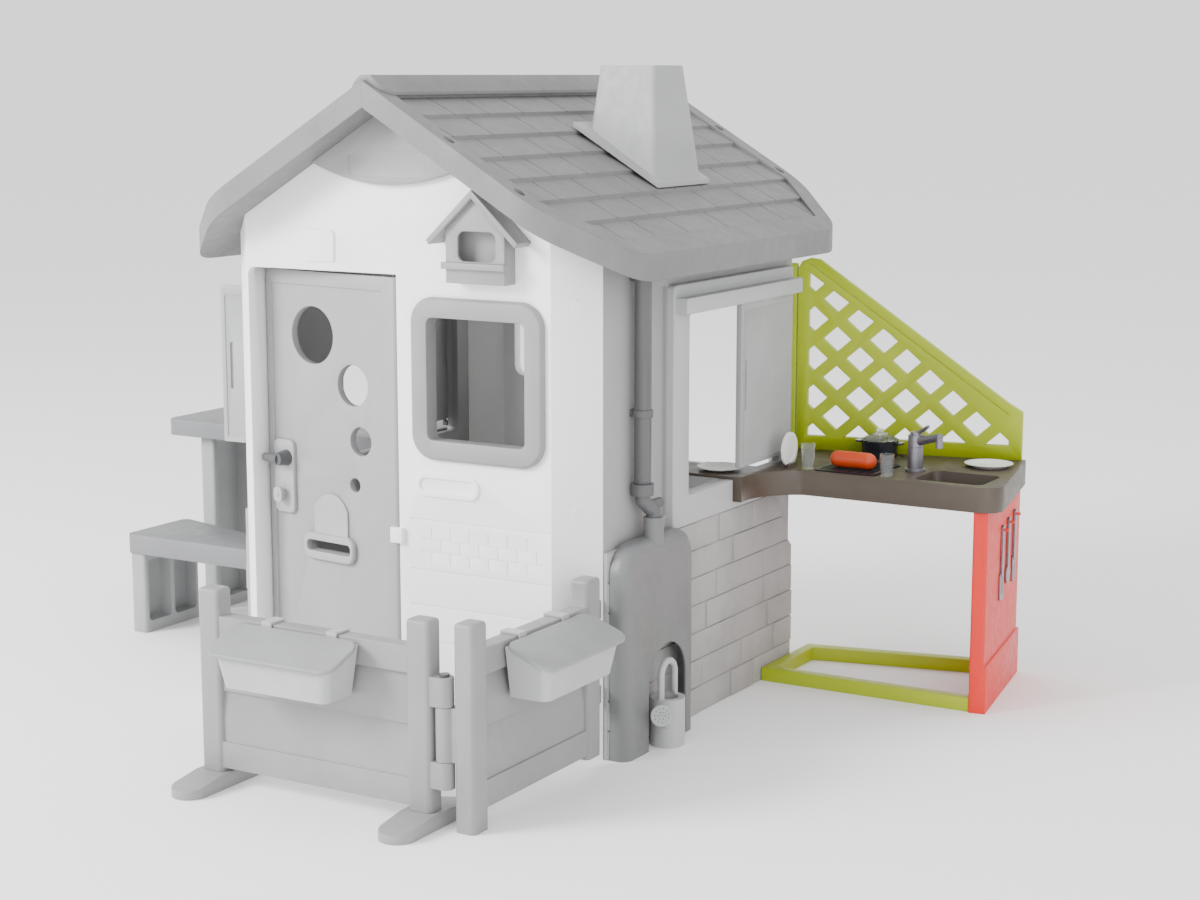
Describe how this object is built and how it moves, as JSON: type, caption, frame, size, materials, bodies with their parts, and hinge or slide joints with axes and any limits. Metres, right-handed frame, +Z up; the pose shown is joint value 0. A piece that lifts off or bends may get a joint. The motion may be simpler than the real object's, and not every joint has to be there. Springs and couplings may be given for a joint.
{
  "type": "plastic playhouse",
  "caption": "Child's moulded playhouse with gable roof, door, shutters, fence with planters, picnic table with bench and an outdoor play kitchen.",
  "frame": {"origin": "bottom centre of the whole object's box, on the ground", "axes": "+X to the kitchen side, to the right when facing the front door; -Y out of the front wall towards the fence; +Z up"},
  "size_m": [2.0054, 1.553, 1.268],
  "materials": {
    "wall_white": "white moulded polyethylene, fine satin grain",
    "stone_grey": "light grey moulded plastic with stone relief",
    "roof_grey": "grey moulded plastic, matt",
    "chimney_grey": "light grey moulded plastic",
    "bolt_grey": "grey plastic bolts",
    "trim_grey": "light grey moulded plastic",
    "frame_grey": "light grey moulded plastic",
    "birdhouse_grey": "light grey moulded plastic",
    "birdhouse_roof_grey": "light grey moulded plastic",
    "side_white": "pale grey moulded polyethylene",
    "plug_white": "white plugs",
    "door_grey": "light grey moulded plastic",
    "door_trim": "grey moulded plastic",
    "lime": "lime green moulded plastic",
    "handle_grey": "grey glossy plastic",
    "pin_grey": "grey plastic pins",
    "shutter_grey": "grey moulded plastic",
    "pipe_grey": "mid grey plastic pipe",
    "barrel_grey": "grey moulded plastic",
    "can_grey": "light grey plastic",
    "fence_grey": "light grey moulded plastic",
    "planter_grey": "light grey moulded plastic",
    "planter_lid_grey": "grey moulded plastic",
    "table_grey": "grey moulded plastic",
    "table_leg_grey": "light grey moulded plastic",
    "counter_brown": "dark brown-grey moulded plastic",
    "grill_black": "black plastic grill",
    "leg_red": "warm red moulded plastic",
    "floor_lime": "lime green moulded plastic",
    "faucet_grey": "silver grey plastic",
    "pot_black": "blue-black plastic",
    "clear": "clear plastic",
    "sausage_orange": "orange-brown plastic",
    "plate_white": "white plastic",
    "utensil_grey": "silver grey plastic"
  },
  "bodies": {
    "house": {"front_wall": "wall_white", "back_wall": "wall_white", "right_wall": "side_white", "left_wall": "side_white", "right_stone_base": "stone_grey", "left_stone_base": "stone_grey", "roof_right": "roof_grey", "roof_left": "roof_grey", "ridge_cap": "roof_grey", "chimney": "chimney_grey", "roof_bolts": "bolt_grey", "gable_board": "trim_grey", "front_window_frame": "frame_grey", "birdhouse_body": "birdhouse_grey", "birdhouse_roof": "birdhouse_roof_grey", "wall_plugs": "plug_white", "door_hinge_pins": "pin_grey", "left_shutter_hinges": "pin_grey", "downpipe": "pipe_grey", "pipe_elbow": "pipe_grey", "rain_barrel": "barrel_grey", "fence_side_panel": "fence_grey", "fence_hinge_pin": "pin_grey", "table_top": "table_grey", "table_leg": "table_leg_grey", "bench_seat": "table_grey", "bench_leg": "table_leg_grey", "counter": "counter_brown", "hob_grill": "grill_black", "trellis": "lime", "trellis_post": "lime", "side_leg": "leg_red", "floor_frame": "floor_lime", "faucet_body": "faucet_grey"},
    "door": {"door_leaf": "door_grey", "letter_slot_frame": "door_trim", "lock_plate": "door_trim"},
    "door_handle": {"door_handle": "handle_grey"},
    "door_key": {"door_key": "door_trim"},
    "shutter_right": {"shutter_right": "shutter_grey"},
    "shutter_left_front": {"shutter_left_front": "shutter_grey"},
    "shutter_left_rear": {"shutter_left_rear": "shutter_grey"},
    "fence_front": {"fence_front_panel": "fence_grey", "fence_feet": "fence_grey"},
    "planter_front": {"planter_front": "planter_grey"},
    "planter_front_lid": {"planter_front_lid": "planter_lid_grey"},
    "planter_side": {"planter_side": "planter_grey"},
    "planter_side_lid": {"planter_side_lid": "planter_lid_grey"},
    "watering_can": {"watering_can": "can_grey"},
    "faucet_spout": {"faucet_spout": "faucet_grey"},
    "pot": {"pot": "pot_black"},
    "pot_lid": {"pot_lid": "clear"},
    "sausage": {"sausage": "sausage_orange"},
    "plate_flat": {"plate_flat": "plate_white"},
    "plate_standing": {"plate_standing": "plate_white"},
    "glass_tall": {"glass_tall": "clear"},
    "glass_short": {"glass_short": "clear"},
    "utensil_spatula": {"utensil_spatula": "utensil_grey"},
    "utensil_spoon": {"utensil_spoon": "utensil_grey"},
    "utensil_fork": {"utensil_fork": "utensil_grey"}
  },
  "joints": [
    {"name": "door_hinge", "type": "hinge", "parent": "house", "child": "door", "pos_m": [0.0713, -0.26233, 0.458], "axis": [0, 0, 1], "range_deg": [-86, 8]},
    {"name": "handle_turn", "type": "hinge", "parent": "door", "child": "door_handle", "pos_m": [-0.21092, -0.22267, 0.512], "axis": [-0.1392, -0.9903, 0], "range_deg": [-40, 40]},
    {"name": "key_turn", "type": "hinge", "parent": "door", "child": "door_key", "pos_m": [-0.22083, -0.22127, 0.44], "axis": [-0.1392, -0.9903, 0], "range_deg": [-90, 90]},
    {"name": "shutter_right_slide", "type": "slide", "parent": "house", "child": "shutter_right", "axis": [0, -1, 0], "range_m": [0, 0.227]},
    {"name": "shutter_left_front_hinge", "type": "hinge", "parent": "house", "child": "shutter_left_front", "pos_m": [-0.3622, 0.05742, 0.64], "axis": [0, 0, 1], "range_deg": [-95, 60]},
    {"name": "shutter_left_rear_hinge", "type": "hinge", "parent": "house", "child": "shutter_left_rear", "pos_m": [-0.3622, 0.53142, 0.64], "axis": [0, 0, 1], "range_deg": [-150, 0]},
    {"name": "gate_hinge", "type": "hinge", "parent": "house", "child": "fence_front", "pos_m": [0.4483, -0.66258, 0.17], "axis": [0, 0, 1], "range_deg": [-25, 90]},
    {"name": "planter_front_lift", "type": "slide", "parent": "fence_front", "child": "planter_front", "axis": [0, 0, 1], "range_m": [0, 0.06]},
    {"name": "planter_front_lid_lift", "type": "slide", "parent": "planter_front", "child": "planter_front_lid", "axis": [0, 0, 1], "range_m": [0, 0.06]},
    {"name": "planter_side_lift", "type": "slide", "parent": "house", "child": "planter_side", "axis": [0, 0, 1], "range_m": [0, 0.06]},
    {"name": "planter_side_lid_lift", "type": "slide", "parent": "planter_side", "child": "planter_side_lid", "axis": [0, 0, 1], "range_m": [0, 0.06]},
    {"name": "watering_can_out", "type": "slide", "parent": "house", "child": "watering_can", "axis": [1, 0, 0], "range_m": [0, 0.12]},
    {"name": "faucet_swivel", "type": "hinge", "parent": "house", "child": "faucet_spout", "pos_m": [0.7873, 0.53742, 0.516], "axis": [0, 0, 1], "range_deg": [-60, 90]},
    {"name": "pot_lift", "type": "slide", "parent": "house", "child": "pot", "axis": [0, 0, 1], "range_m": [0, 0.05]},
    {"name": "pot_lid_lift", "type": "slide", "parent": "pot", "child": "pot_lid", "axis": [0, 0, 1], "range_m": [0, 0.04]},
    {"name": "sausage_lift", "type": "slide", "parent": "house", "child": "sausage", "axis": [0, 0, 1], "range_m": [0, 0.05]},
    {"name": "plate_flat_lift", "type": "slide", "parent": "house", "child": "plate_flat", "axis": [0, 0, 1], "range_m": [0, 0.05]},
    {"name": "plate_standing_lift", "type": "slide", "parent": "house", "child": "plate_standing", "axis": [0, 0, 1], "range_m": [0, 0.05]},
    {"name": "glass_tall_lift", "type": "slide", "parent": "house", "child": "glass_tall", "axis": [0, 0, 1], "range_m": [0, 0.05]},
    {"name": "glass_short_lift", "type": "slide", "parent": "house", "child": "glass_short", "axis": [0, 0, 1], "range_m": [0, 0.05]},
    {"name": "utensil_spatula_off", "type": "slide", "parent": "house", "child": "utensil_spatula", "axis": [0.9875, 0.1578, 0], "range_m": [0, 0.03]},
    {"name": "utensil_spoon_off", "type": "slide", "parent": "house", "child": "utensil_spoon", "axis": [0.9875, 0.1578, 0], "range_m": [0, 0.03]},
    {"name": "utensil_fork_off", "type": "slide", "parent": "house", "child": "utensil_fork", "axis": [0.9875, 0.1578, 0], "range_m": [0, 0.03]}
  ]
}
